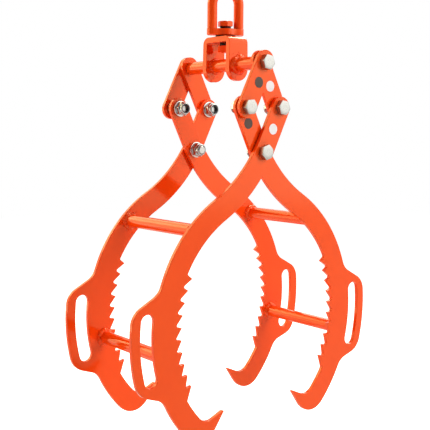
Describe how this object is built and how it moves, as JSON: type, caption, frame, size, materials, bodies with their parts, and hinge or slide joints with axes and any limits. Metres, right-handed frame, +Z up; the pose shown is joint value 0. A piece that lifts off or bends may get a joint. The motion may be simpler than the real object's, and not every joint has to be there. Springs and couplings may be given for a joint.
{
  "type": "log lifting tongs",
  "caption": "Scissor-action tongs with paired toothed claw plates on a swivel eye, for lifting logs by crane or loader.",
  "frame": {"origin": "inside top of the lifting eye's loop, where a crane hook bears", "axes": "+X across the tongs, from the left claws to the right claws; +Y from the front pair of claws to the rear pair, along the crossbar; +Z up"},
  "size_m": [0.558, 0.2454, 0.7905],
  "materials": {
    "orange_coat": "glossy orange powder coat",
    "painted_weld": "weld bead under orange powder coat",
    "zinc_bolt": "clear zinc plate",
    "bright_zinc": "bright zinc plate",
    "blackened_steel": "greased blackened steel",
    "dark_mark": "matt grey paint dot",
    "pale_mark": "matt white paint dot"
  },
  "bodies": {
    "eye": {"lifting_eye": "orange_coat"},
    "bracket": {"swivel_bolt": "orange_coat", "swivel_bushing": "blackened_steel", "thrust_washer": "blackened_steel", "swivel_washer": "blackened_steel", "swivel_nut": "orange_coat", "swivel_bracket": "orange_coat", "crossbar": "orange_coat", "crossbar_welds": "painted_weld", "apex_bolts": "zinc_bolt"},
    "left_links": {"front_left_link": "orange_coat", "rear_left_link": "orange_coat", "left_pivot_bolts": "zinc_bolt", "left_pivot_washers": "bright_zinc", "left_pivot_lock_nuts": "bright_zinc", "rear_left_spacer": "bright_zinc", "dark_link_mark": "dark_mark"},
    "right_links": {"front_right_link": "orange_coat", "rear_right_link": "orange_coat", "pale_link_mark": "pale_mark"},
    "right_jaw": {"front_right_jaw": "orange_coat", "rear_right_jaw": "orange_coat", "upper_right_cross_tube": "orange_coat", "lower_right_cross_tube": "orange_coat", "right_tube_welds": "painted_weld", "dark_jaw_mark": "dark_mark"},
    "left_jaw": {"front_left_jaw": "orange_coat", "rear_left_jaw": "orange_coat", "upper_left_cross_tube": "orange_coat", "lower_left_cross_tube": "orange_coat", "left_tube_welds": "painted_weld", "right_pivot_bolts": "zinc_bolt", "right_pivot_washers": "bright_zinc", "right_pivot_lock_nuts": "bright_zinc", "crossing_pivot_bolts": "zinc_bolt", "crossing_pivot_washers": "bright_zinc", "crossing_pivot_lock_nuts": "bright_zinc", "pale_jaw_mark": "pale_mark"}
  },
  "joints": [
    {"name": "swivel", "type": "hinge", "parent": "eye", "child": "bracket", "pos_m": [0, 0, -0.0725], "axis": [0, 0, 1], "continuous": true},
    {"name": "left_link_swing", "type": "hinge", "parent": "bracket", "child": "left_links", "pos_m": [0, 0, -0.1268], "axis": [0, 1, 0], "range_deg": [-11, 40]},
    {"name": "right_link_swing", "type": "hinge", "parent": "bracket", "child": "right_links", "pos_m": [0, 0, -0.1268], "axis": [0, -1, 0], "range_deg": [-11, 40]},
    {"name": "right_jaw_swing", "type": "hinge", "parent": "left_links", "child": "right_jaw", "pos_m": [-0.03882, 0, -0.20466], "axis": [0, -1, 0], "range_deg": [-22, 80]},
    {"name": "left_jaw_swing", "type": "hinge", "parent": "right_links", "child": "left_jaw", "pos_m": [0.03882, 0, -0.20466], "axis": [0, 1, 0], "range_deg": [-22, 80]}
  ],
  "couplings": [
    {"joint": "right_link_swing", "follows": "left_link_swing", "ratio": 1},
    {"joint": "right_jaw_swing", "follows": "left_link_swing", "ratio": 2},
    {"joint": "left_jaw_swing", "follows": "left_link_swing", "ratio": 2}
  ]
}
